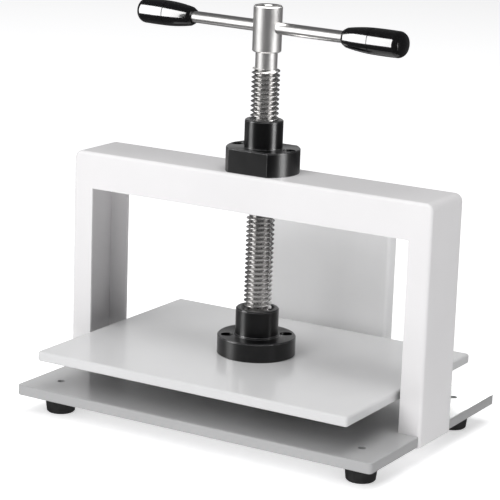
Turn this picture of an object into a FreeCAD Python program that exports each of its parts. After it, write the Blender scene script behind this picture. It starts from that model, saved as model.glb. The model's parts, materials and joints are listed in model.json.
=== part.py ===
import FreeCAD, Part
import math
import os

# Bench screw press for book blocks and stacks of sheets.
# Frame of the part: millimetres, +X to the right, +Y to the back, +Z up.
# The origin is on the ground, in the middle of the whole press.
# The platen stands a little above the base, as it does when it presses a thin stack.

Vector = FreeCAD.Vector
X_DIR = Vector(1, 0, 0)
Y_DIR = Vector(0, 1, 0)
Z_DIR = Vector(0, 0, 1)

# ---- driving dimensions -------------------------------------------------------------

# base plate
BASE_LENGTH = 344.5
BASE_DEPTH = 228.5
BASE_THICKNESS = 9.0
BASE_Y = -5.7
BASE_CORNER_RADIUS = 3.5
BASE_CHAMFER = 0.6
FOOT_HEIGHT = 17.5

# platen, and how far it hangs above the base plate
PLATEN_LENGTH = 300.0
PLATEN_DEPTH = 223.2
PLATEN_THICKNESS = 8.8
PLATEN_GAP = 25.4
PLATEN_EDGE_RADIUS = 2.2
PLATEN_CORNER_RADIUS = 2.6

# the spindle's axis, shared by the arch, the platen and the hub
AXIS_Y = -9.9

# arch frame, bent from sheet into a channel that is open inwards
ARCH_LENGTH = 347.7
ARCH_DEPTH = 57.2
ARCH_HEIGHT = 193.4
ARCH_OPENING_HEIGHT = 161.4
ARCH_LEG_WIDTH = 19.9
ARCH_CORNER_RADIUS = 7.0
SHEET = 2.0
BEND_RADIUS = 3.0
TAB_LENGTH = 22.0
TAB_SCREW_INSET = 12.5
TAB_SCREW_SPACING = 30.0
NOTCH_CLEARANCE = 0.1

# rear stop, bent from the same sheet
STOP_WIDTH = 126.6
STOP_HEIGHT = 150.0
STOP_FLANGE = 12.95
STOP_SCREW_SPACING = 45.0
STOP_SCREW_DEPTH = 12.5
STOP_CORNER_RADIUS = 3.5

# spindle
THREAD_PITCH = 4.0
THREAD_TURNS = 58
THREAD_MAJOR_RADIUS = 12.0
THREAD_MINOR_RADIUS = 9.3
THREAD_CREST = 0.5
THREAD_CLEARANCE = 0.3
SHOULDER_RADIUS = 11.6
NECK_RADIUS = 9.3
NECK_LENGTH = 14.0
HEAD_RADIUS = 12.2
HEAD_LENGTH = 38.8
JOURNAL_RADIUS = 9.0
JOURNAL_END = 1.5
RING_GROOVE_HEIGHT = 4.3
RING_GROOVE_WIDTH = 1.3
RING_GROOVE_DEPTH = 0.7
RING_WIDTH = 2.6
BAR_BELOW_HEAD_TOP = 18.0
SET_SCREW_RADIUS = 4.0

# nut on top of the arch
NUT_FLANGE_RADIUS = 31.5
NUT_FLAT_DISTANCE = 25.3
NUT_FLANGE_THICKNESS = 20.5
NUT_HEIGHT = 44.0
NUT_HUB_RADIUS = 16.3
NUT_SCREW_RADIUS = 25.0
BACKING_LENGTH = 110.0
BACKING_THICKNESS = 8.0
BACKING_CLEARANCE = 0.2
SPINDLE_HOLE_RADIUS = THREAD_MAJOR_RADIUS + 1.0
NUT_LEAD_IN = 2.8
TURNED_CHAMFER = 0.8

# hub on the platen
HUB_FLANGE_RADIUS = 33.7
HUB_FLANGE_THICKNESS = 16.3
HUB_HEIGHT = 40.3
HUB_RADIUS = 18.5
HUB_SCREW_RADIUS = 25.6
HUB_SCREW_ANGLE = 39.0
HUB_POCKET_RADIUS = 12.9
HUB_WEB_BOTTOM = 6.0
HUB_WEB_TOP = 11.0
HUB_RING_POCKET_RADIUS = 15.0
WASHER_THICKNESS = 2.0

# handle bar and knobs; the angle is how far the bar stands turned from the arch
BAR_ANGLE = -7.5
BAR_RADIUS = 5.0
BAR_SPIGOT_RADIUS = 4.0
KNOB_INNER_X = 79.5
KNOB_LENGTH = 59.0
KNOB_RADIUS = 10.95
KNOB_CROWN = 2.0
KNOB_GROOVE_ALONG = 27.8
KNOB_GROOVE_WIDTH = 0.7
KNOB_GROOVE_RADIUS = 10.4
KNOB_MOUTH_DEPTH = 2.0
KNOB_MOUTH_RADIUS = 5.2
INSERT_RADIUS = 6.0
INSERT_LENGTH = 23.0
INSERT_BORE_LENGTH = 21.0

# holes and screws
M6_HOLE_RADIUS = 3.3
M6_TAP_RADIUS = 3.05
M5_HOLE_RADIUS = 2.75
M5_TAP_RADIUS = 2.55
M6_RADIUS = 3.0
M6_HEAD_RADIUS = 5.0
M6_HEAD_HEIGHT = 6.0
M6_REACH = 6.8
M5_RADIUS = 2.5
COUNTERBORE_RADIUS = 5.5
COUNTERBORE_DEPTH = 8.0

# feet
FOOT_TOP_RADIUS = 14.2
FOOT_BOTTOM_RADIUS = 12.2
FOOT_X = 147.8
FOOT_Y = 83.6
FOOT_RECESS_RADIUS = 7.0
FOOT_SEAT = 10.0
FOOT_WASHER_THICKNESS = 1.5
FOOT_SCREW_HEAD_RADIUS = 5.8
FOOT_SCREW_HEAD_HEIGHT = 3.6
FOOT_SCREW_BELOW_TOP = 5.0

# ---- heights that follow from them --------------------------------------------------

BASE_BOTTOM = FOOT_HEIGHT
BASE_TOP = BASE_BOTTOM + BASE_THICKNESS
BASE_BACK_Y = BASE_Y + BASE_DEPTH / 2
PLATEN_BOTTOM = BASE_TOP + PLATEN_GAP
PLATEN_TOP = PLATEN_BOTTOM + PLATEN_THICKNESS
ARCH_TOP = BASE_TOP + ARCH_HEIGHT
ARCH_FRONT_Y = AXIS_Y - ARCH_DEPTH / 2
SHOULDER_Z = PLATEN_TOP + HUB_WEB_TOP + WASHER_THICKNESS + 0.05
THREAD_Z = SHOULDER_Z + 1.05
THREAD_TOP = THREAD_Z + THREAD_TURNS * THREAD_PITCH
HEAD_Z = THREAD_TOP + NECK_LENGTH
HEAD_TOP = HEAD_Z + HEAD_LENGTH
BAR_Z = HEAD_TOP - BAR_BELOW_HEAD_TOP


# ---- helpers ------------------------------------------------------------------------

def box(x_range, y_range, z_range):
    """A box from its lowest and highest x, y and z."""
    size = [high - low for low, high in (x_range, y_range, z_range)]
    return Part.makeBox(*size, Vector(x_range[0], y_range[0], z_range[0]))


def cylinder(radius, bottom, top, x=0.0, y=0.0):
    """An upright cylinder between two heights."""
    return Part.makeCylinder(radius, top - bottom, Vector(x, y, bottom))


def cone(radius_bottom, radius_top, bottom, top, x=0.0, y=0.0):
    """An upright cone between two heights."""
    return Part.makeCone(radius_bottom, radius_top, top - bottom, Vector(x, y, bottom))


def lathe(profile):
    """A solid turned about +Z from (radius, height) points."""
    points = [Vector(radius, 0, height) for radius, height in profile]
    face = Part.Face(Part.makePolygon(points + points[:1]))
    return face.revolve(Vector(), Z_DIR, 360)


def edges_at(shape, test):
    """The edges whose end points all pass the test."""
    return [edge for edge in shape.Edges if all(test(v.Point) for v in edge.Vertexes)]


def upright_edges(shape):
    """The edges that run straight up."""
    return [edge for edge in shape.Edges
            if edge.BoundBox.ZLength > 1 and edge.BoundBox.XLength + edge.BoundBox.YLength < 0.01]


def hexagon_socket(across_flats, depth, top):
    """The hexagonal hole of a socket screw, going down from the given height."""
    radius = across_flats / math.sqrt(3)
    points = [Vector(radius * math.cos(math.radians(60 * i)),
                     radius * math.sin(math.radians(60 * i)), top - depth) for i in range(6)]
    return Part.Face(Part.makePolygon(points + points[:1])).extrude(Vector(0, 0, depth))


def socket_head_screw(length):
    """An M6 socket-head cap screw, head upwards, with the head's underside at height 0."""
    head = cylinder(M6_HEAD_RADIUS, 0, M6_HEAD_HEIGHT)
    head = head.makeChamfer(0.5, edges_at(head, lambda p: p.z > M6_HEAD_HEIGHT - 0.1))
    screw = head.fuse(cylinder(M6_RADIUS, -length, 0))
    return screw.cut(hexagon_socket(5.0, 3.2, M6_HEAD_HEIGHT))


def button_head_screw(length):
    """An M5 button-head screw, head upwards, with the head's underside at height 0."""
    head = lathe([(0, 0), (4.75, 0), (4.6, 1.1), (3.9, 2.0), (2.9, 2.7), (0, 2.7)])
    screw = head.fuse(cylinder(M5_RADIUS, -length, 0))
    return screw.cut(hexagon_socket(3.0, 1.7, 2.7))


def placed(shape, x, y, z):
    """A copy of a shape, moved."""
    return shape.translated(Vector(x, y, z))


def thread_turn(minor_radius, major_radius):
    """One turn of a right-hand screw thread, between two level faces one pitch apart."""
    sunk = 0.3
    half_root = THREAD_PITCH * 0.49
    half_crest = THREAD_CREST / 2
    profile = [Vector(minor_radius - sunk, 0, -half_root), Vector(major_radius, 0, -half_crest),
               Vector(major_radius, 0, half_crest), Vector(minor_radius - sunk, 0, half_root)]
    helix = Part.makeHelix(THREAD_PITCH, 4 * THREAD_PITCH, minor_radius)
    ridge = Part.Wire(helix.Edges).makePipeShell([Part.makePolygon(profile + profile[:1])], True, True)
    if ridge.Volume < 0:
        ridge.reverse()
    core = cylinder(minor_radius, -THREAD_PITCH, 5 * THREAD_PITCH)
    wide = 2 * major_radius
    bottom = 1.5 * THREAD_PITCH
    slab = box((-wide, wide), (-wide, wide), (bottom, bottom + THREAD_PITCH))
    return placed(core.fuse(ridge).common(slab), 0, 0, -bottom)


def threaded_rod(minor_radius, major_radius, turns, bottom):
    """A threaded rod, joined from turns in runs of 1, 2, 4 and so on."""
    run = thread_turn(minor_radius, major_radius)
    run_turns = 1
    rod = None
    done = 0
    while done < turns:
        if (turns - done) & run_turns:
            piece = placed(run, 0, 0, done * THREAD_PITCH)
            rod = rod.fuse(piece) if rod else piece
            done += run_turns
        if done < turns:
            run = run.fuse(placed(run, 0, 0, run_turns * THREAD_PITCH))
            run_turns *= 2
    return placed(rod, 0, 0, bottom)


# ---- places that several pieces share -----------------------------------------------

FOOT_PLACES = {
    "foot_front_left": (-FOOT_X, BASE_Y - FOOT_Y),
    "foot_front_right": (FOOT_X, BASE_Y - FOOT_Y),
    "foot_back_left": (-FOOT_X, BASE_Y + FOOT_Y),
    "foot_back_right": (FOOT_X, BASE_Y + FOOT_Y),
}
TAB_SCREW_X = ARCH_LENGTH / 2 - TAB_SCREW_INSET
TAB_SCREW_PLACES = [(side * TAB_SCREW_X, AXIS_Y + end * TAB_SCREW_SPACING / 2)
                    for side in (-1, 1) for end in (-1, 1)]
STOP_SCREW_X = [i * STOP_SCREW_SPACING for i in (-1, 0, 1)]
STOP_SCREW_Z = BASE_BOTTOM + BASE_THICKNESS / 2
NUT_SCREW_PLACES = [(side * NUT_SCREW_RADIUS, AXIS_Y) for side in (-1, 1)]
HUB_SCREW_PLACES = [
    (side * HUB_SCREW_RADIUS * math.cos(math.radians(HUB_SCREW_ANGLE)),
     AXIS_Y + side * HUB_SCREW_RADIUS * math.sin(math.radians(HUB_SCREW_ANGLE)))
    for side in (-1, 1)]


# ---- base: plate, feet and their fasteners ------------------------------------------

def make_base_plate():
    plate = box((-BASE_LENGTH / 2, BASE_LENGTH / 2),
                (BASE_Y - BASE_DEPTH / 2, BASE_BACK_Y), (BASE_BOTTOM, BASE_TOP))
    plate = plate.makeFillet(BASE_CORNER_RADIUS, upright_edges(plate))
    plate = plate.makeChamfer(BASE_CHAMFER, [e for e in plate.Edges if e.BoundBox.ZLength < 0.001])
    tools = [cylinder(M6_HOLE_RADIUS, BASE_BOTTOM - 1, BASE_TOP + 1, x, y)
             for x, y in FOOT_PLACES.values()]
    tools += [cylinder(M5_TAP_RADIUS, BASE_BOTTOM - 1, BASE_BOTTOM + 7.5, x, y)
              for x, y in TAB_SCREW_PLACES]
    tools += [Part.makeCylinder(M5_TAP_RADIUS, STOP_SCREW_DEPTH + 1,
                                Vector(x, BASE_BACK_Y - STOP_SCREW_DEPTH, STOP_SCREW_Z), Y_DIR)
              for x in STOP_SCREW_X]
    # shallow notches that the arch's webs sit in
    notch_x = ARCH_LENGTH / 2 - SHEET - NOTCH_CLEARANCE
    notch_y = (ARCH_FRONT_Y - 3 * NOTCH_CLEARANCE, ARCH_FRONT_Y + ARCH_DEPTH + 3 * NOTCH_CLEARANCE)
    for side in (-1, 1):
        x_range = sorted((side * notch_x, side * ARCH_LENGTH / 2))
        tools.append(box(x_range, notch_y, (BASE_BOTTOM - 1, BASE_TOP + 1)))
    return plate.cut(tools)


def make_foot():
    """A tapered rubber foot standing on the ground at the origin."""
    recess_top = FOOT_SEAT + FOOT_WASHER_THICKNESS
    return lathe([(FOOT_RECESS_RADIUS, 0), (FOOT_BOTTOM_RADIUS - 1, 0), (FOOT_BOTTOM_RADIUS, 1),
                  (FOOT_TOP_RADIUS, FOOT_HEIGHT), (M6_HOLE_RADIUS, FOOT_HEIGHT),
                  (M6_HOLE_RADIUS, recess_top), (FOOT_RECESS_RADIUS, recess_top)])


def make_foot_washer():
    outer = cylinder(FOOT_RECESS_RADIUS - 0.1, FOOT_SEAT, FOOT_SEAT + FOOT_WASHER_THICKNESS)
    return outer.cut(cylinder(M6_HOLE_RADIUS, 0, FOOT_HEIGHT))


def make_foot_screw():
    """An M6 pan-head screw that points up through a foot into the base plate."""
    radius, bottom = FOOT_SCREW_HEAD_RADIUS, FOOT_SEAT - FOOT_SCREW_HEAD_HEIGHT
    head = lathe([(0, FOOT_SEAT), (radius, FOOT_SEAT), (radius, bottom + 1.4), (radius - 1.2, bottom),
                  (0, bottom)])
    screw = head.fuse(cylinder(M6_RADIUS, FOOT_SEAT, BASE_TOP - FOOT_SCREW_BELOW_TOP))
    socket_depth = 2.4
    return screw.cut(hexagon_socket(4.0, socket_depth, bottom + socket_depth))


# ---- arch frame, its fasteners and its backing plate --------------------------------

def make_arch_frame():
    half = ARCH_LENGTH / 2
    back_y = ARCH_FRONT_Y + ARCH_DEPTH
    tab_bottom = BASE_BOTTOM - SHEET
    outer = box((-half, half), (ARCH_FRONT_Y, back_y), (tab_bottom, ARCH_TOP))
    top_corners = [e for e in outer.Edges if e.BoundBox.YLength > ARCH_DEPTH - 0.1
                   and e.BoundBox.ZMin > ARCH_TOP - 0.1]
    outer = outer.makeFillet(ARCH_CORNER_RADIUS, top_corners)
    foot_bends = [e for e in outer.Edges if e.BoundBox.YLength > ARCH_DEPTH - 0.1
                  and e.BoundBox.ZMax < tab_bottom + 0.1]
    outer = outer.makeFillet(BEND_RADIUS, foot_bends)
    rim = [e for e in outer.Edges
           if e.BoundBox.YLength < 0.01 and not (e.BoundBox.ZMax < tab_bottom + 0.1)]
    outer = outer.makeFillet(BEND_RADIUS, rim)

    inner_half = half - SHEET
    hollow = box((-inner_half, inner_half), (ARCH_FRONT_Y + SHEET, back_y - SHEET),
                 (BASE_BOTTOM, ARCH_TOP - SHEET))
    hollow = hollow.makeFillet(ARCH_CORNER_RADIUS - SHEET,
                               [e for e in hollow.Edges if e.BoundBox.YLength > 1
                                and e.BoundBox.ZMin > ARCH_TOP - SHEET - 0.1])
    through = (ARCH_FRONT_Y - 1, back_y + 1)
    opening_half = half - ARCH_LEG_WIDTH
    opening = box((-opening_half, opening_half), through, (BASE_TOP, BASE_TOP + ARCH_OPENING_HEIGHT))
    room_for_base = box((-inner_half, inner_half), through, (BASE_BOTTOM, BASE_TOP))
    tab_half = inner_half - TAB_LENGTH
    between_tabs = box((-tab_half, tab_half), through, (tab_bottom - 1, BASE_TOP))
    tools = [hollow, opening, room_for_base, between_tabs]
    tools.append(cylinder(SPINDLE_HOLE_RADIUS, ARCH_TOP - 10, ARCH_TOP + 1, 0, AXIS_Y))
    tools += [cylinder(M6_HOLE_RADIUS, ARCH_TOP - 10, ARCH_TOP + 1, x, y) for x, y in NUT_SCREW_PLACES]
    tools += [cylinder(M5_HOLE_RADIUS, tab_bottom - 1, BASE_BOTTOM + 1, x, y)
              for x, y in TAB_SCREW_PLACES]
    return outer.cut(tools)


def make_backing_plate():
    top = ARCH_TOP - SHEET
    plate = box((-BACKING_LENGTH / 2, BACKING_LENGTH / 2),
                (ARCH_FRONT_Y + SHEET + BACKING_CLEARANCE,
                 ARCH_FRONT_Y + ARCH_DEPTH - SHEET - BACKING_CLEARANCE),
                (top - BACKING_THICKNESS, top))
    plate = plate.makeChamfer(1.0, upright_edges(plate))
    tools = [cylinder(SPINDLE_HOLE_RADIUS, top - 20, top + 1, 0, AXIS_Y)]
    tools += [cylinder(M6_TAP_RADIUS, top - 20, top + 1, x, y) for x, y in NUT_SCREW_PLACES]
    return plate.cut(tools)


# ---- nut ----------------------------------------------------------------------------

def make_spindle_nut():
    """The flange nut with two flats, two counterbored holes and an internal thread."""
    flange = cylinder(NUT_FLANGE_RADIUS, 0, NUT_FLANGE_THICKNESS)
    flange = flange.common(box((-NUT_FLANGE_RADIUS, NUT_FLANGE_RADIUS),
                               (-NUT_FLAT_DISTANCE, NUT_FLAT_DISTANCE), (0, NUT_FLANGE_THICKNESS)))
    flange = flange.makeChamfer(TURNED_CHAMFER, [e for e in flange.Edges
                                                 if e.BoundBox.ZMin > NUT_FLANGE_THICKNESS - 0.01])
    hub = cylinder(NUT_HUB_RADIUS, 0, NUT_HEIGHT)
    hub = hub.makeChamfer(TURNED_CHAMFER, [e for e in hub.Edges
                                           if e.BoundBox.ZMin > NUT_HEIGHT - 0.01])
    nut = flange.fuse(hub)
    seat = NUT_FLANGE_THICKNESS - COUNTERBORE_DEPTH
    tools = []
    for side in (-1, 1):
        tools.append(cylinder(M6_HOLE_RADIUS, -1, seat + 1, side * NUT_SCREW_RADIUS))
        tools.append(cylinder(COUNTERBORE_RADIUS, seat, NUT_FLANGE_THICKNESS + 1,
                              side * NUT_SCREW_RADIUS))
    nut = nut.cut(tools)
    inner = THREAD_MINOR_RADIUS + THREAD_CLEARANCE
    outer = THREAD_MAJOR_RADIUS + THREAD_CLEARANCE
    # the turns run on past both ends of the nut, in step with the spindle's own turns
    first_turn = math.floor((ARCH_TOP - THREAD_Z) / THREAD_PITCH) - 1
    tap_bottom = THREAD_Z + first_turn * THREAD_PITCH - ARCH_TOP
    tap_turns = math.ceil((NUT_HEIGHT - tap_bottom) / THREAD_PITCH) + 1
    nut = nut.cut(threaded_rod(inner, outer, tap_turns, tap_bottom))
    nut = nut.cut(cone(inner, outer + 0.5, NUT_HEIGHT - NUT_LEAD_IN, NUT_HEIGHT + 0.1))
    nut = nut.cut(cone(outer + 0.5, inner, -0.1, NUT_LEAD_IN))
    return placed(nut, 0, AXIS_Y, ARCH_TOP)


# ---- platen, its hub and the thrust washer ------------------------------------------

def make_platen():
    half_depth = PLATEN_DEPTH / 2
    plate = box((-PLATEN_LENGTH / 2, PLATEN_LENGTH / 2), (AXIS_Y - half_depth, AXIS_Y + half_depth),
                (PLATEN_BOTTOM, PLATEN_TOP))
    plate = plate.makeFillet(PLATEN_CORNER_RADIUS, upright_edges(plate))
    plate = plate.makeFillet(PLATEN_EDGE_RADIUS, [e for e in plate.Edges if e.BoundBox.ZLength < 0.001])
    return plate.cut([cylinder(M6_TAP_RADIUS, PLATEN_TOP - M6_REACH - 0.5, PLATEN_TOP + 1, x, y)
                      for x, y in HUB_SCREW_PLACES])


def make_platen_hub():
    """The flanged hub: a pocket for the spindle's shoulder, and a web that its journal runs in."""
    hub = lathe([(0, 0), (HUB_FLANGE_RADIUS - 0.4, 0), (HUB_FLANGE_RADIUS, 0.4),
                 (HUB_FLANGE_RADIUS, HUB_FLANGE_THICKNESS - TURNED_CHAMFER),
                 (HUB_FLANGE_RADIUS - TURNED_CHAMFER, HUB_FLANGE_THICKNESS),
                 (HUB_RADIUS + 1.2, HUB_FLANGE_THICKNESS), (HUB_RADIUS, HUB_FLANGE_THICKNESS + 1.2),
                 (HUB_RADIUS, HUB_HEIGHT - 1.0), (HUB_RADIUS - 1.0, HUB_HEIGHT), (0, HUB_HEIGHT)])
    bore = lathe([(0, -1), (HUB_RING_POCKET_RADIUS, -1), (HUB_RING_POCKET_RADIUS, HUB_WEB_BOTTOM),
                  (JOURNAL_RADIUS + 0.2, HUB_WEB_BOTTOM),
                  (JOURNAL_RADIUS + 0.2, HUB_WEB_TOP), (HUB_POCKET_RADIUS, HUB_WEB_TOP),
                  (HUB_POCKET_RADIUS, HUB_HEIGHT - 2.0), (HUB_POCKET_RADIUS + 2.2, HUB_HEIGHT + 0.2),
                  (0, HUB_HEIGHT + 0.2)])
    hub = placed(hub.cut(bore), 0, AXIS_Y, PLATEN_TOP)
    seat = PLATEN_TOP + HUB_FLANGE_THICKNESS - COUNTERBORE_DEPTH
    tools = []
    for x, y in HUB_SCREW_PLACES:
        tools.append(cylinder(M6_HOLE_RADIUS, PLATEN_TOP - 1, seat + 1, x, y))
        tools.append(cylinder(COUNTERBORE_RADIUS, seat, PLATEN_TOP + HUB_FLANGE_THICKNESS + 1, x, y))
    return hub.cut(tools)


def make_thrust_washer():
    bottom = PLATEN_TOP + HUB_WEB_TOP
    ring = cylinder(HUB_POCKET_RADIUS - 0.2, bottom, bottom + WASHER_THICKNESS, 0, AXIS_Y)
    return ring.cut(cylinder(JOURNAL_RADIUS + 0.3, bottom - 1, bottom + 5, 0, AXIS_Y))


# ---- spindle, its retaining ring, handle bar and knobs ------------------------------

def make_spindle():
    """The screw: journal with a ring groove, shoulder, thread, neck and cross-drilled head."""
    groove_bottom = PLATEN_TOP + RING_GROOVE_HEIGHT
    groove_top = groove_bottom + RING_GROOVE_WIDTH
    groove_radius = JOURNAL_RADIUS - RING_GROOVE_DEPTH
    end = PLATEN_TOP + JOURNAL_END
    lower = lathe([(0, end), (JOURNAL_RADIUS - TURNED_CHAMFER, end), (JOURNAL_RADIUS, end + TURNED_CHAMFER),
                   (JOURNAL_RADIUS, groove_bottom), (groove_radius, groove_bottom),
                   (groove_radius, groove_top), (JOURNAL_RADIUS, groove_top),
                   (JOURNAL_RADIUS, SHOULDER_Z), (SHOULDER_RADIUS, SHOULDER_Z),
                   (SHOULDER_RADIUS, THREAD_Z), (0, THREAD_Z)])
    upper = lathe([(0, THREAD_TOP), (NECK_RADIUS, THREAD_TOP), (NECK_RADIUS, HEAD_Z),
                   (HEAD_RADIUS - 1.0, HEAD_Z), (HEAD_RADIUS, HEAD_Z + 1.0),
                   (HEAD_RADIUS, HEAD_TOP - 1.2), (HEAD_RADIUS - 1.2, HEAD_TOP), (0, HEAD_TOP)])
    cross_hole = Part.makeCylinder(BAR_RADIUS + 0.05, 4 * HEAD_RADIUS,
                                   Vector(-2 * HEAD_RADIUS, 0, BAR_Z), X_DIR)
    cross_hole.rotate(Vector(), Z_DIR, BAR_ANGLE)
    tapped = SET_SCREW_RADIUS + 0.1
    upper = upper.cut([cross_hole, cylinder(tapped, BAR_Z, HEAD_TOP + 1),
                       cone(tapped, tapped + 1.0, HEAD_TOP - 1.0, HEAD_TOP)])
    rod = threaded_rod(THREAD_MINOR_RADIUS, THREAD_MAJOR_RADIUS, THREAD_TURNS, THREAD_Z)
    return placed(rod.fuse(lower).fuse(upper), 0, AXIS_Y, 0)


def make_retaining_ring():
    """An open ring with two lugs, sprung into the spindle's groove."""
    play = 0.05
    bottom = PLATEN_TOP + RING_GROOVE_HEIGHT + play
    top = bottom + RING_GROOVE_WIDTH - 2 * play
    inner = JOURNAL_RADIUS - RING_GROOVE_DEPTH + play
    lug_x, lug_y, lug_radius, lug_hole_radius = 2.65, inner + 2.5, 2.0, 0.8
    half_gap = 0.9
    ring = cylinder(inner + RING_WIDTH, bottom, top)
    ring = ring.fuse([cylinder(lug_radius, bottom, top, side * lug_x, lug_y) for side in (-1, 1)])
    tools = [cylinder(inner, bottom - 1, top + 1)]
    tools.append(box((-half_gap, half_gap), (0, inner + 6), (bottom - 1, top + 1)))
    tools += [cylinder(lug_hole_radius, bottom - 1, top + 1, side * lug_x, lug_y) for side in (-1, 1)]
    return placed(ring.cut(tools), 0, AXIS_Y, 0)


def make_handle_bar():
    """The bar through the head, with a thinner spigot at each end for the knobs."""
    shoulder_x = KNOB_INNER_X + KNOB_MOUTH_DEPTH - 0.2
    end_x = KNOB_INNER_X + KNOB_MOUTH_DEPTH + INSERT_BORE_LENGTH - 1
    bar = lathe([(0, -end_x), (BAR_SPIGOT_RADIUS - 0.6, -end_x), (BAR_SPIGOT_RADIUS, 0.6 - end_x),
                 (BAR_SPIGOT_RADIUS, -shoulder_x), (BAR_RADIUS, -shoulder_x),
                 (BAR_RADIUS, shoulder_x), (BAR_SPIGOT_RADIUS, shoulder_x),
                 (BAR_SPIGOT_RADIUS, end_x - 0.6), (BAR_SPIGOT_RADIUS - 0.6, end_x), (0, end_x)])
    return lay_along_bar(bar)


def lay_along_bar(shape, flip=False):
    """Turns a shape made about +Z so that it lies on the handle bar's axis."""
    shape = shape.copy()
    shape.rotate(Vector(), Y_DIR, -90 if flip else 90)
    shape.rotate(Vector(), Z_DIR, BAR_ANGLE)
    return placed(shape, 0, AXIS_Y, BAR_Z)


def make_knob(flip):
    """A barrel knob, turned about the bar, with a fine groove and a domed outer end."""

    def point(along, radius):
        return Vector(radius, 0, KNOB_INNER_X + along)

    # the domed end is part of a sphere that rises by the crown inside the rim
    rim, wide = KNOB_RADIUS - 2.15, KNOB_RADIUS - 0.15
    dome_radius = (rim ** 2 + KNOB_CROWN ** 2) / (2 * KNOB_CROWN)
    half_angle = math.asin(rim / dome_radius) / 2
    dome_middle = point(KNOB_LENGTH - dome_radius * (1 - math.cos(half_angle)),
                        dome_radius * math.sin(half_angle))
    edges = [Part.makeLine(point(0, 0), point(0, 6.6)),
             Part.makeLine(point(0, 6.6), point(3.0, 8.2)),
             Part.Arc(point(3.0, 8.2), point(13.0, 9.7), point(27.5, wide)).toShape(),
             Part.Arc(point(27.5, wide), point(39.5, KNOB_RADIUS), point(51.5, wide)).toShape(),
             Part.Arc(point(51.5, wide), point(55.0, KNOB_RADIUS - 0.75),
                      point(KNOB_LENGTH - KNOB_CROWN, rim)).toShape(),
             Part.Arc(point(KNOB_LENGTH - KNOB_CROWN, rim), dome_middle, point(KNOB_LENGTH, 0)).toShape(),
             Part.makeLine(point(KNOB_LENGTH, 0), point(0, 0))]
    knob = Part.Face(Part.Wire(edges)).revolve(Vector(), Z_DIR, 360)
    mouth = KNOB_INNER_X + KNOB_MOUTH_DEPTH
    bores = [cylinder(KNOB_MOUTH_RADIUS, KNOB_INNER_X - 1, mouth),
             cylinder(INSERT_RADIUS, mouth, mouth + INSERT_LENGTH)]
    groove_start = KNOB_INNER_X + KNOB_GROOVE_ALONG
    groove = cylinder(2 * KNOB_RADIUS, groove_start, groove_start + KNOB_GROOVE_WIDTH)
    groove = groove.cut(cylinder(KNOB_GROOVE_RADIUS, groove_start - 1, groove_start + 2))
    return lay_along_bar(knob.cut(bores + [groove]), flip)


def make_knob_insert(flip):
    """The threaded insert that is moulded into a knob."""
    mouth = KNOB_INNER_X + KNOB_MOUTH_DEPTH
    insert = cylinder(INSERT_RADIUS, mouth, mouth + INSERT_LENGTH)
    bore = cylinder(BAR_SPIGOT_RADIUS + 0.05, mouth - 1, mouth + INSERT_BORE_LENGTH)
    return lay_along_bar(insert.cut(bore), flip)


def make_bar_set_screw():
    """The set screw in the spindle's head, which locks the handle bar."""
    bottom = BAR_Z + BAR_RADIUS
    top = HEAD_TOP - 1.4
    radius = SET_SCREW_RADIUS
    screw = lathe([(0, bottom), (radius - 1.0, bottom), (radius, bottom + 1.0), (radius, top - 0.5),
                   (radius - 0.5, top), (0, top)])
    return placed(screw.cut(hexagon_socket(4.0, 3.5, top)), 0, AXIS_Y, 0)


# ---- rear stop ----------------------------------------------------------------------

def make_rear_stop():
    """A sheet panel with its sides and top bent back, screwed to the base plate's back edge."""
    half = STOP_WIDTH / 2
    top = BASE_TOP + STOP_HEIGHT
    back_y = BASE_BACK_Y + STOP_FLANGE
    outer = box((-half, half), (BASE_BACK_Y, back_y), (BASE_BOTTOM, top))
    bends = [e for e in outer.Edges
             if (e.BoundBox.YLength > 1 and e.BoundBox.ZMin > top - 0.1)]
    outer = outer.makeFillet(STOP_CORNER_RADIUS, bends)
    rim = [e for e in outer.Edges if e.BoundBox.YMax < BASE_BACK_Y + 0.01
           and e.BoundBox.ZMax > BASE_BOTTOM + 0.1]
    outer = outer.makeFillet(BEND_RADIUS, rim)
    hollow = box((-half + SHEET, half - SHEET), (BASE_BACK_Y + SHEET, back_y + 1),
                 (BASE_BOTTOM - 1, top - SHEET))
    hollow = hollow.makeFillet(STOP_CORNER_RADIUS - SHEET,
                               [e for e in hollow.Edges if e.BoundBox.YLength > 1
                                and e.BoundBox.ZMin > top - SHEET - 0.1])
    holes = [Part.makeCylinder(M5_HOLE_RADIUS, 10, Vector(x, BASE_BACK_Y - 1, STOP_SCREW_Z), Y_DIR)
             for x in STOP_SCREW_X]
    return outer.cut([hollow] + holes)


def make_rear_stop_screws():
    screw = button_head_screw(12.0)
    screw.rotate(Vector(), X_DIR, -90)
    return [placed(screw, x, BASE_BACK_Y + SHEET, STOP_SCREW_Z) for x in STOP_SCREW_X]


# ---- all nodes ----------------------------------------------------------------------

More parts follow.
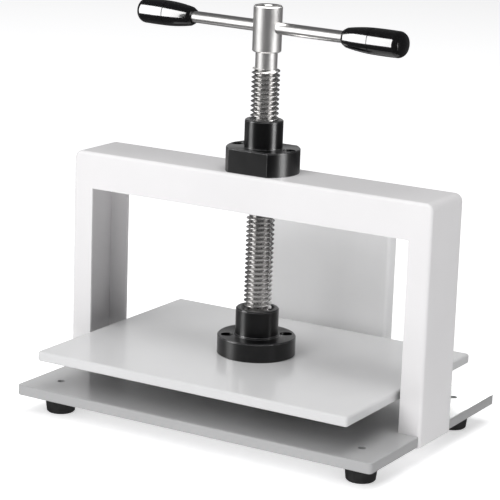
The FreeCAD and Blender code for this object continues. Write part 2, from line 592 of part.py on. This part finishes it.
def make_nodes():
    """Every node's name with its solids."""
    foot, washer, foot_screw = make_foot(), make_foot_washer(), make_foot_screw()
    tab_screw = button_head_screw(8.0)
    tab_screw.rotate(Vector(), X_DIR, 180)
    nut_seat = ARCH_TOP + NUT_FLANGE_THICKNESS - COUNTERBORE_DEPTH
    nut_screw = socket_head_screw(nut_seat - (ARCH_TOP - SHEET - BACKING_THICKNESS))
    hub_seat = PLATEN_TOP + HUB_FLANGE_THICKNESS - COUNTERBORE_DEPTH
    hub_screw = socket_head_screw(hub_seat - PLATEN_TOP + M6_REACH)
    nodes = {
        "base_plate": [make_base_plate()],
        "foot_washers": [placed(washer, x, y, 0) for x, y in FOOT_PLACES.values()],
        "foot_screws": [placed(foot_screw, x, y, 0) for x, y in FOOT_PLACES.values()],
        "arch_frame": [make_arch_frame()],
        "arch_screws": [placed(tab_screw, x, y, BASE_BOTTOM - SHEET) for x, y in TAB_SCREW_PLACES],
        "nut_backing_plate": [make_backing_plate()],
        "spindle_nut": [make_spindle_nut()],
        "nut_screws": [placed(nut_screw, x, y, nut_seat) for x, y in NUT_SCREW_PLACES],
        "rear_stop": [make_rear_stop()],
        "rear_stop_screws": make_rear_stop_screws(),
        "platen": [make_platen()],
        "platen_hub": [make_platen_hub()],
        "hub_screws": [placed(hub_screw, x, y, hub_seat) for x, y in HUB_SCREW_PLACES],
        "thrust_washer": [make_thrust_washer()],
        "spindle": [make_spindle()],
        "retaining_ring": [make_retaining_ring()],
        "handle_bar": [make_handle_bar()],
        "handle_knob_right": [make_knob(False)],
        "handle_knob_left": [make_knob(True)],
        "knob_insert_right": [make_knob_insert(False)],
        "knob_insert_left": [make_knob_insert(True)],
        "bar_set_screw": [make_bar_set_screw()],
    }
    for name, (x, y) in FOOT_PLACES.items():
        nodes[name] = [placed(foot, x, y, 0)]
    return nodes


os.makedirs("parts", exist_ok=True)
for node_name, solids in make_nodes().items():
    shape = solids[0] if len(solids) == 1 else Part.makeCompound(solids)
    shape.exportStep("parts/" + node_name + ".step")
    print(node_name, len(shape.Solids), "solid(s)", round(shape.Volume), "mm3", "valid", shape.isValid())
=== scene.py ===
import json
import math

import bmesh
import bpy
from mathutils import Matrix, Vector


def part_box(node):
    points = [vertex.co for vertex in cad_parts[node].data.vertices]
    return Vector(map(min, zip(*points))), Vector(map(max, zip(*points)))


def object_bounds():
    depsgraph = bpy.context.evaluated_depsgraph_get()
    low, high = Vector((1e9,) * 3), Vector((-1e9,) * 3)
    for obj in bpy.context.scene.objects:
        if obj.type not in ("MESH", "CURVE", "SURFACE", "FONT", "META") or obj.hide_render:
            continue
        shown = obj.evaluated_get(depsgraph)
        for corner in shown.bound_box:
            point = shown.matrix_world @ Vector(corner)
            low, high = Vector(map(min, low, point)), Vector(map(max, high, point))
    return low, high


# The looks of a bench screw press: paint, steel, black fittings, camera, light and floor.
# Everything is in metres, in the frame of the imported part.

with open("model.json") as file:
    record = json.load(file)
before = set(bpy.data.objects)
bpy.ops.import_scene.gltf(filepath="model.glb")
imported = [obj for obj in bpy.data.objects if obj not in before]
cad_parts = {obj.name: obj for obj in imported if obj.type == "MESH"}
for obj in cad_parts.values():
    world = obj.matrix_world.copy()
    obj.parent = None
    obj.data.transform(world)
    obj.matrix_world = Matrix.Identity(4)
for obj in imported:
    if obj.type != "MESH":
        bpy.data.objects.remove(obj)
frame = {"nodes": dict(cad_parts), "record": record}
CAD_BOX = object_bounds()
SPINDLE_LOW, SPINDLE_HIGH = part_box("spindle")
SPINDLE_Y = (SPINDLE_LOW.y + SPINDLE_HIGH.y) / 2
HEAD_TOP = SPINDLE_HIGH.z
HEAD_AND_NECK_LENGTH = 0.0528
THREAD_TOP = HEAD_TOP - HEAD_AND_NECK_LENGTH
THREAD_ROOT_RADIUS = 0.0094

# ---- camera -------------------------------------------------------------------------

CAMERA_AIM = Vector((-0.0119, -0.0057, 0.1485))
CAMERA_AZIMUTH = 30.63
CAMERA_ELEVATION = 13.522
CAMERA_ROLL = 2.009
CAMERA_DISTANCE = 1.7925
CAMERA_LENS = 151.01

# ---- studio -------------------------------------------------------------------------

WORLD_COLOUR = (0.12, 0.12, 0.123)
FLOOR_COLOUR = (0.90, 0.90, 0.905)
FLOOR_GLOW = 0.50
FLOOR_REACH = 20.0
# name, azimuth, elevation, distance, (width, height), radiance, the group of parts that it lights
# A lamp with a group shows only in that group's reflections. One without lights every part,
# and shows in no reflection.
LAMPS = [
    ("key_softbox", -18.0, 38.0, 5.0, (3.1, 3.1), 4.3, None),
    ("front_softbox", 2.0, 12.0, 5.0, (2.5, 1.5), 1.3, None),
    ("top_softbox", 60.0, 76.0, 4.5, (3.3, 3.3), 4.1, None),
    ("side_softbox", 98.0, 28.0, 4.5, (2.6, 2.6), 0.15, None),
    ("back_box_for_plates", 200.0, 18.0, 2.6, (4.2, 1.8), 0.60, "plates"),
    ("right_back_box_for_base", 186.0, 16.0, 2.0, (0.9, 1.2), 13.0, "base"),
    ("back_box_for_turned", 210.0, 16.0, 2.6, (2.4, 1.0), 0.45, "turned"),
    ("left_box_for_turned", -52.0, 22.0, 2.2, (0.9, 1.6), 20.0, "turned"),
    ("right_box_for_turned", 95.0, 22.0, 2.2, (0.8, 1.6), 30.0, "turned"),
    ("left_box_for_knobs", -50.0, 12.0, 2.2, (1.35, 2.3), 18.0, "knobs"),
    ("right_box_for_knobs", 82.0, -5.0, 2.2, (0.55, 1.2), 9.0, "knobs"),
    ("left_box_for_steel", -38.0, 8.0, 2.2, (1.4, 2.4), 2.2, "steel"),
    ("right_box_for_steel", 90.0, 8.0, 2.2, (1.3, 2.4), 2.3, "steel"),
    ("front_box_for_steel", 30.0, 46.0, 2.2, (4.2, 1.7), 3.2, "steel"),
    ("top_box_for_spindle", 30.0, 88.0, 2.2, (3.0, 3.0), 6.5, "spindle"),
]
# the material slots, or the nodes, that make each group
GROUPS = {
    "plates": ("base_paint", "platen_paint"),
    "base": ("base_paint",),
    "turned": ("black_finish",),
    "knobs": ("black_plastic",),
    "steel": ("bright_steel",),
    "spindle": ("spindle",),
}

# ---- colours of the finishes, as linear red, green and blue -------------------------

OFF_WHITE = (0.80, 0.79, 0.795)
PALE_GREY = (0.43, 0.43, 0.433)
PLATEN_GREY = (0.66, 0.66, 0.663)
STOP_GREY = (0.94, 0.94, 0.94)
STEEL = (0.72, 0.71, 0.70)
ZINC = (0.60, 0.61, 0.63)
BRASS = (0.74, 0.56, 0.27)
BLACK_GLOSS = (0.0015, 0.0015, 0.0017)
BLACK_OXIDE = (0.03, 0.03, 0.032)
RUBBER = (0.022, 0.022, 0.022)
WORN_BLACK = (0.20, 0.20, 0.205)
WORN_PLATING = (0.75, 0.75, 0.75)
DUSTY_EDGE = (0.09, 0.09, 0.09)


def direction(azimuth, elevation):
    """The unit vector towards a point round the object. Azimuth 0 is in front of it and 90 on its right."""
    a, e = math.radians(azimuth), math.radians(elevation)
    return Vector((math.sin(a) * math.cos(e), -math.cos(a) * math.cos(e), math.sin(e)))


# ---- node materials -----------------------------------------------------------------

class Finish:
    """One procedural material: a Principled shader and the patterns that drive it.

    Roughness that passes through about 0.27 came out blotchy on the large pieces, so theirs stays
    on one side of it.
    """

    def __init__(self, name, **fixed):
        self.material = bpy.data.materials.new(name)
        self.material.use_nodes = True
        self.tree = self.material.node_tree
        self.shader = self.tree.nodes["Principled BSDF"]
        self.place = self.node("ShaderNodeTexCoord").outputs["Object"]
        for socket, value in fixed.items():
            label = socket.replace("_", " ").title().replace("Ior", "IOR")
            self.shader.inputs[label].default_value = value

    def node(self, kind, inputs=None, **settings):
        """A new node, with its settings, and its inputs set or linked by name or number."""
        node = self.tree.nodes.new(kind)
        for key, value in settings.items():
            setattr(node, key, value)
        for key, value in (inputs or {}).items():
            if isinstance(value, bpy.types.NodeSocket):
                self.tree.links.new(value, node.inputs[key])
            else:
                node.inputs[key].default_value = value
        return node

    def drive(self, socket, value):
        """Links a pattern to one of the shader's sockets."""
        self.tree.links.new(value, self.shader.inputs[socket])

    def noise(self, scale, detail=2.0, roughness=0.5, stretch=(1, 1, 1)):
        """Noise from 0 to 1, with scale features to the metre, squeezed along the axes of stretch."""
        place = self.node("ShaderNodeVectorMath", {0: self.place, 1: stretch}, operation="MULTIPLY")
        noise = self.node("ShaderNodeTexNoise", {"Vector": place.outputs[0], "Scale": scale,
                                                 "Detail": detail, "Roughness": roughness})
        return noise.outputs["Fac"]

    def remap(self, value, low, high, to_low=0.0, to_high=1.0):
        """Takes low..high to to_low..to_high, held at both ends."""
        return self.node("ShaderNodeMapRange", {"Value": value, "From Min": low, "From Max": high,
                                                "To Min": to_low, "To Max": to_high}).outputs["Result"]

    def math(self, operation, a, b=0.0):
        """The result of one sum on two patterns or numbers."""
        return self.node("ShaderNodeMath", {0: a, 1: b}, operation=operation).outputs[0]

    def mix(self, share, a, b):
        """A colour between two colours."""
        node = self.node("ShaderNodeMix", {"Factor": share}, data_type="RGBA")
        for socket, value in ((node.inputs[6], a), (node.inputs[7], b)):
            if isinstance(value, bpy.types.NodeSocket):
                self.tree.links.new(value, socket)
            else:
                socket.default_value = (*value, 1.0)
        return node.outputs[2]

    def edges(self, radius):
        """1 along sharp convex and concave edges and 0 on flat faces."""
        bevel = self.node("ShaderNodeBevel", {"Radius": radius}, samples=4)
        normal = self.node("ShaderNodeNewGeometry").outputs["Normal"]
        dot = self.node("ShaderNodeVectorMath", {0: bevel.outputs[0], 1: normal}, operation="DOT_PRODUCT")
        return self.remap(dot.outputs["Value"], 0.995, 0.90)

    def bump(self, height, distance, soft_edge=0.0):
        """Adds relief with the pattern height, distance metres deep, on edges rounded by soft_edge."""
        inputs = {"Height": height, "Distance": distance, "Strength": 1.0}
        if soft_edge:
            inputs["Normal"] = self.node("ShaderNodeBevel", {"Radius": soft_edge}, samples=4).outputs[0]
        self.drive("Normal", self.node("ShaderNodeBump", inputs).outputs[0])


def shade(colour, factor):
    """A colour made lighter or darker."""
    return tuple(c * factor for c in colour)


def enamel(name, colour, roughness, coat):
    """Sprayed and baked paint: a fine orange peel, slight mottling, and edges rubbed a little thinner."""
    finish = Finish(name, coat_weight=coat, coat_roughness=0.12, specular_ior_level=0.5)
    mottle = finish.noise(14.0, detail=4.0)
    speckle = finish.noise(2600.0, detail=1.0)
    body = finish.mix(finish.remap(mottle, 0.3, 0.7), shade(colour, 0.975), shade(colour, 1.015))
    body = finish.mix(finish.remap(speckle, 0.35, 0.75, 0.0, 0.25), body, shade(colour, 0.95))
    patches = finish.remap(finish.noise(90.0, 3.0), 0.42, 0.62)
    rubbed = finish.math("MULTIPLY", finish.edges(0.0011), patches)
    body = finish.mix(finish.math("MULTIPLY", rubbed, 0.30), body, shade(colour, 0.80))
    finish.drive("Base Color", body)
    handled = finish.noise(9.0, detail=5.0, roughness=0.6)
    finish.drive("Roughness", finish.remap(handled, 0.3, 0.7, roughness - 0.01, roughness + 0.03))
    peel = finish.noise(900.0, detail=2.0)
    finish.bump(peel, 0.000006, soft_edge=0.0005)
    return finish.material


def turned_steel(name, colour, roughness, axis="Z", anisotropic=0.75, thread=None):
    """Bright steel off a lathe: fine rings round the axis, with a few stains.

    Below the height thread, if there is one, it is a smoother thread with painted shade darkening its
    roots, and the end face of its head is painted dark, also as painted shade.
    """
    finish = Finish(name, metallic=1.0, anisotropic=anisotropic)
    stretch = (0.02, 0.02, 1) if axis == "Z" else (1, 0.02, 0.02)
    rings = finish.noise(5200.0, detail=3.0, roughness=0.65, stretch=stretch)
    stain = finish.noise(60.0, detail=5.0, roughness=0.65)
    body = finish.mix(finish.remap(stain, 0.45, 0.75, 0.0, 0.5), colour, shade(colour, 0.82))
    body = finish.mix(finish.remap(rings, 0.5, 0.8, 0.0, 0.35), body, shade(colour, 0.78))
    rough = finish.remap(stain, 0.35, 0.7, roughness, roughness + 0.05)
    relief = rings
    if thread:
        place = finish.node("ShaderNodeSeparateXYZ", {0: finish.place})
        from_axis = finish.math("SUBTRACT", place.outputs["Y"], SPINDLE_Y)
        radius = finish.math("SQRT", finish.math("ADD", finish.math("POWER", place.outputs["X"], 2.0),
                                                 finish.math("POWER", from_axis, 2.0)))
        threaded = finish.math("LESS_THAN", place.outputs["Z"], thread)
        # painted shade: the colour darkens towards the root radius of the thread, standing in for the shade
        # that falls in the roots
        root_painted_shade = finish.remap(radius, THREAD_ROOT_RADIUS + 0.0006, THREAD_ROOT_RADIUS, 0.0, 0.25)
        body = finish.mix(finish.math("MULTIPLY", threaded, root_painted_shade), body, shade(colour, 0.12))
        # painted shade: the top end face of the head is darkened in the colour, not lit darker by the lamps
        end_face_painted_shade = finish.remap(place.outputs["Z"], HEAD_TOP - 0.0009, HEAD_TOP - 0.0004, 0.0, 0.85)
        body = finish.mix(end_face_painted_shade, body, shade(colour, 0.10))
        polish = finish.math("MULTIPLY", threaded, roughness - 0.21)
        rough = finish.math("SUBTRACT", rough, polish)
        relief = finish.math("MULTIPLY", rings, finish.math("SUBTRACT", 1.0, threaded))
        finish.drive("Anisotropic", finish.remap(threaded, 0.0, 1.0, anisotropic, 0.0))
    finish.drive("Base Color", body)
    finish.drive("Roughness", rough)
    tangent = finish.node("ShaderNodeTangent", direction_type="RADIAL", axis=axis)
    finish.drive("Tangent", tangent.outputs[0])
    finish.bump(relief, 0.000012)
    return finish.material


def black_turned(name, colour, roughness):
    """Turned steel with a glossy black coating: faint rings, and edges that catch the light."""
    finish = Finish(name, anisotropic=0.85, anisotropic_rotation=0.25, specular_ior_level=0.5)
    rings = finish.noise(3000.0, detail=2.0, stretch=(0.02, 0.02, 1))
    cloud = finish.noise(45.0, detail=3.0)
    body = finish.mix(finish.remap(rings, 0.45, 0.8), colour, shade(colour, 2.0))
    patches = finish.remap(finish.noise(300.0, 3.0), 0.3, 0.6, 0.5, 1.0)
    worn = finish.math("MULTIPLY", finish.edges(0.0006), patches)
    body = finish.mix(worn, body, WORN_BLACK)
    finish.drive("Base Color", body)
    finish.drive("Roughness", finish.remap(cloud, 0.3, 0.7, roughness, roughness + 0.04))
    tangent = finish.node("ShaderNodeTangent", direction_type="RADIAL", axis="Z")
    finish.drive("Tangent", tangent.outputs[0])
    finish.bump(rings, 0.000004, soft_edge=0.0003)
    return finish.material


def black_plastic(name, colour, roughness):
    """Polished black moulding with hairline scuffs."""
    finish = Finish(name, coat_weight=0.3, coat_roughness=0.04, specular_ior_level=0.5)
    cloud = finish.noise(120.0, detail=4.0)
    scuffs = finish.noise(700.0, detail=3.0, stretch=(0.15, 1, 1))
    body = finish.mix(finish.remap(scuffs, 0.55, 0.8, 0.0, 0.5), colour, shade(colour, 3.0))
    finish.drive("Base Color", body)
    finish.drive("Roughness", finish.remap(cloud, 0.35, 0.7, roughness, roughness + 0.06))
    finish.bump(scuffs, 0.000004, soft_edge=0.0003)
    return finish.material


def plated(name, colour, roughness):
    """Small plated or blackened steel parts."""
    finish = Finish(name, metallic=1.0)
    cloud = finish.noise(400.0, detail=4.0)
    body = finish.mix(finish.remap(cloud, 0.35, 0.7), colour, shade(colour, 0.7))
    body = finish.mix(finish.math("MULTIPLY", finish.edges(0.0004), 0.4), body, WORN_PLATING)
    finish.drive("Base Color", body)
    finish.drive("Roughness", finish.remap(cloud, 0.3, 0.7, roughness, roughness + 0.15))
    finish.bump(finish.noise(3000.0), 0.00001, soft_edge=0.0002)
    return finish.material


def moulded_rubber(name, colour):
    """Matt rubber, dusty where it is raised."""
    finish = Finish(name, specular_ior_level=0.4)
    dust = finish.noise(160.0, detail=5.0, roughness=0.6)
    body = finish.mix(finish.remap(dust, 0.4, 0.75, 0.0, 0.6), colour, shade(colour, 2.2))
    body = finish.mix(finish.math("MULTIPLY", finish.edges(0.0008), 0.5), body, DUSTY_EDGE)
    finish.drive("Base Color", body)
    finish.drive("Roughness", finish.remap(dust, 0.3, 0.7, 0.5, 0.68))
    finish.bump(finish.noise(2400.0, detail=3.0), 0.00004, soft_edge=0.0006)
    return finish.material


def make_finishes():
    """The material for each slot of the record."""
    return {
        "base_paint": enamel("base_enamel", PALE_GREY, 0.31, 0.5),
        "frame_paint": enamel("frame_enamel", OFF_WHITE, 0.38, 0.25),
        "platen_paint": enamel("platen_enamel", PLATEN_GREY, 0.31, 0.4),
        "stop_paint": enamel("stop_enamel", STOP_GREY, 0.34, 0.3),
        "black_finish": black_turned("black_turned_steel", BLACK_GLOSS, 0.30),
        "bright_steel": turned_steel("turned_bright_steel", STEEL, 0.31, thread=THREAD_TOP),
        "black_plastic": black_plastic("polished_black_moulding", BLACK_GLOSS, 0.10),
        "brass": plated("machined_brass", BRASS, 0.25),
        "black_screws": plated("black_oxide_steel", BLACK_OXIDE, 0.35),
        "zinc_screws": plated("zinc_plated_steel", ZINC, 0.30),
        "rubber": moulded_rubber("moulded_rubber", RUBBER),
    }


def paint_nodes():
    """Gives every CAD node the finish of its slot."""
    finishes = make_finishes()
    for node in frame["nodes"].values():
        for slot in node.material_slots:
            slot.material = finishes[slot.material.name]
    bar_steel = turned_steel("ground_bar_steel", STEEL, 0.285, axis="X", anisotropic=0.3)
    frame["nodes"]["handle_bar"].material_slots[0].material = bar_steel


# ---- floor, light and camera --------------------------------------------------------

def make_floor():
    """A sheet of pale paper that fills the view, and glows a little so that it looks white."""
    mesh = bpy.data.meshes.new("floor")
    shape = bmesh.new()
    bmesh.ops.create_grid(shape, x_segments=8, y_segments=8, size=FLOOR_REACH)
    shape.to_mesh(mesh)
    shape.free()
    floor = bpy.data.objects.new("floor", mesh)
    bpy.context.scene.collection.objects.link(floor)
    finish = Finish("floor_paper", roughness=0.9, specular_ior_level=0.15, emission_strength=FLOOR_GLOW)
    finish.shader.inputs["Emission Color"].default_value = (1.0, 1.0, 1.0, 1.0)
    cloud = finish.noise(1.2, detail=2.0)
    finish.drive("Base Color", finish.mix(cloud, shade(FLOOR_COLOUR, 0.99), FLOOR_COLOUR))
    mesh.materials.append(finish.material)
    # some boxes reach below the floor, so reflections and shadow rays pass through it
    floor.visible_glossy = False
    floor.visible_shadow = False


def make_groups():
    """The parts of each group, as a collection for the lamps to light."""
    groups = {}
    for group, members in GROUPS.items():
        groups[group] = bpy.data.collections.new(group)
        for subpart in frame["record"]["subparts"]:
            if subpart["material_slot"] in members or subpart["node"] in members:
                groups[group].objects.link(frame["nodes"][subpart["node"]])
    return groups


def make_lamps():
    """Hangs every lamp of LAMPS round the object's middle, facing it."""
    groups = make_groups()
    middle = (CAD_BOX[0] + CAD_BOX[1]) / 2
    for name, azimuth, elevation, distance, size, radiance, group in LAMPS:
        data = bpy.data.lights.new(name, "AREA")
        data.shape = "RECTANGLE"
        data.size, data.size_y = size
        data.energy = radiance * math.pi * size[0] * size[1]
        lamp = bpy.data.objects.new(name, data)
        back = direction(azimuth, elevation)
        lamp.location = middle + back * distance
        lamp.rotation_euler = (-back).to_track_quat("-Z", "Y").to_euler()
        lamp.visible_camera = False
        lamp.visible_glossy = group is not None
        lamp.visible_diffuse = group is None
        if group:
            lamp.light_linking.receiver_collection = groups[group]
        bpy.context.scene.collection.objects.link(lamp)


def make_world():
    """An even grey all round."""
    world = bpy.data.worlds.new("studio")
    world.use_nodes = True
    background = world.node_tree.nodes["Background"]
    background.inputs["Color"].default_value = (*WORLD_COLOUR, 1.0)
    background.inputs["Strength"].default_value = 1.0
    bpy.context.scene.world = world


def make_camera():
    """A long lens in front of the object and on its right, rolled a little."""
    data = bpy.data.cameras.new("camera")
    data.lens = CAMERA_LENS
    data.sensor_width = 36.0
    data.clip_start, data.clip_end = 0.05, 100.0
    camera = bpy.data.objects.new("camera", data)
    back = direction(CAMERA_AZIMUTH, CAMERA_ELEVATION)
    right = (-back).cross(Vector((0, 0, 1))).normalized()
    up = right.cross(-back)
    roll = math.radians(CAMERA_ROLL)
    x_axis = right * math.cos(roll) + up * math.sin(roll)
    y_axis = up * math.cos(roll) - right * math.sin(roll)
    turn = Matrix((x_axis, y_axis, back)).transposed()
    camera.matrix_world = Matrix.Translation(CAMERA_AIM + back * CAMERA_DISTANCE) @ turn.to_4x4()
    bpy.context.scene.collection.objects.link(camera)
    bpy.context.scene.camera = camera


# ---- the scene ----------------------------------------------------------------------

paint_nodes()
make_floor()
make_lamps()
make_world()
make_camera()
bpy.context.scene.view_settings.view_transform = "Standard"
